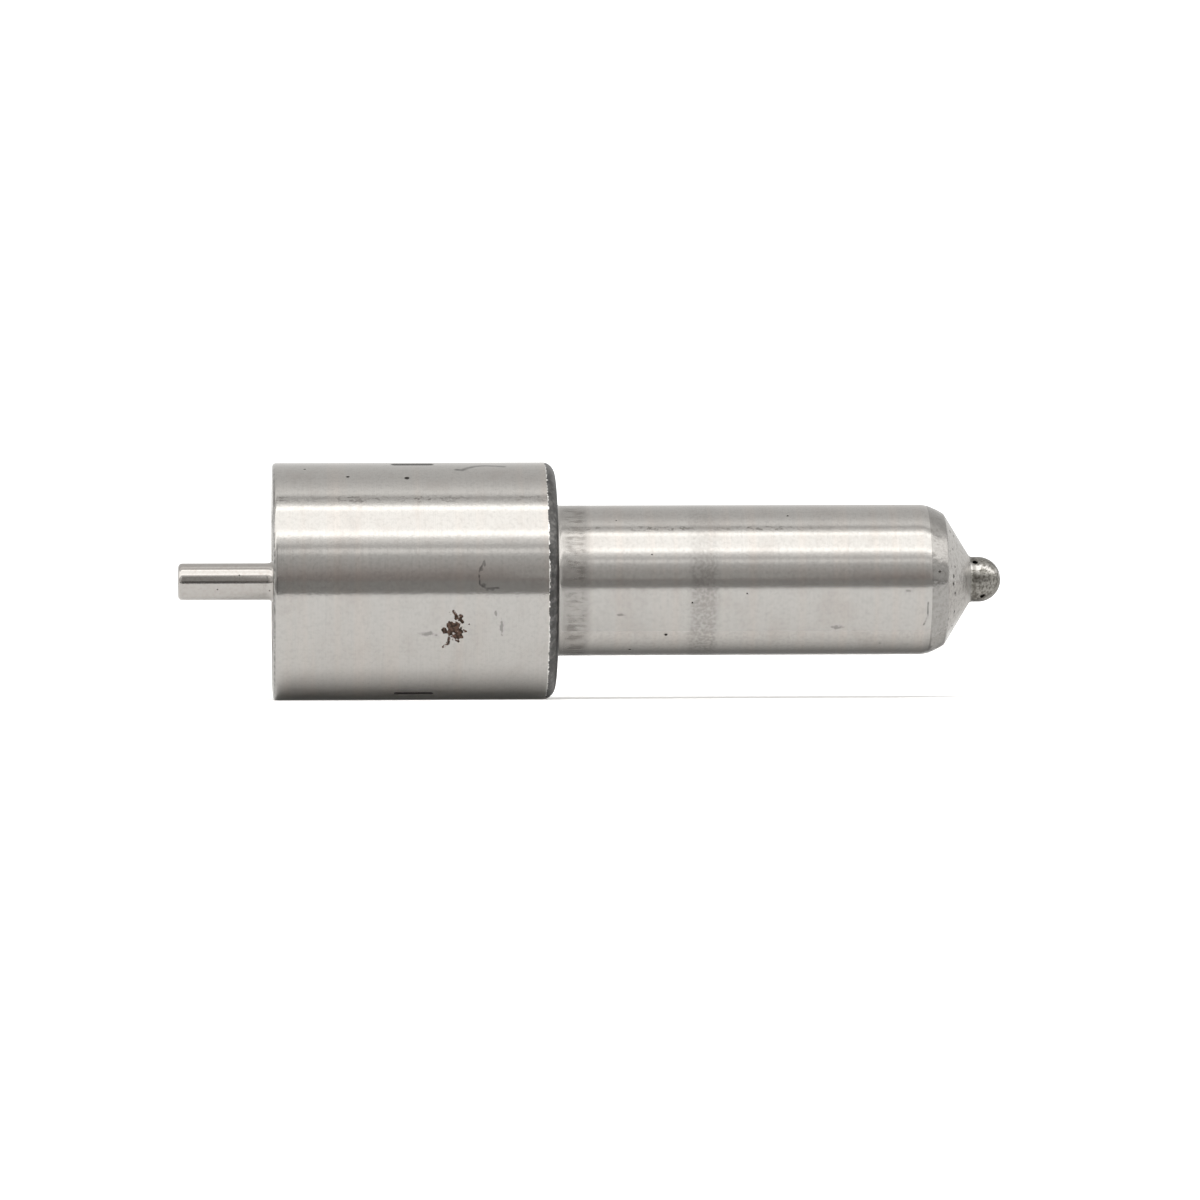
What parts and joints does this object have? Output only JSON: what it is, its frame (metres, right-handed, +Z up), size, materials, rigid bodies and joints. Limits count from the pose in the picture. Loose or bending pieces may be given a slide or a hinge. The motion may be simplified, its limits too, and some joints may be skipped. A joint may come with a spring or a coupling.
{
  "type": "diesel injector nozzle",
  "caption": "Long-stem hole-type diesel injector nozzle: a stepped round steel body with a domed spray tip and a lapped needle valve whose slim tail stands out of its sealing face.",
  "frame": {"origin": "on the nozzle's axis, halfway between the end of the needle's tail and the end of the spray tip, which is the middle of its box", "axes": "+X along the axis from the needle's tail to the spray tip, +Z up as the nozzle lies on its collar, +Y across"},
  "size_m": [0.059, 0.017, 0.017],
  "materials": {
    "ground_steel": "ground bright, handled and lightly stained, spray tip and collar edge left dark",
    "lapped_steel": "lapped, bright"
  },
  "bodies": {
    "body": {"nozzle_body": "ground_steel"},
    "needle": {"nozzle_needle": "lapped_steel"}
  },
  "joints": [
    {"name": "needle_lift", "type": "slide", "parent": "body", "child": "needle", "axis": [-1, 0, 0], "range_m": [0, 0.0003]}
  ]
}
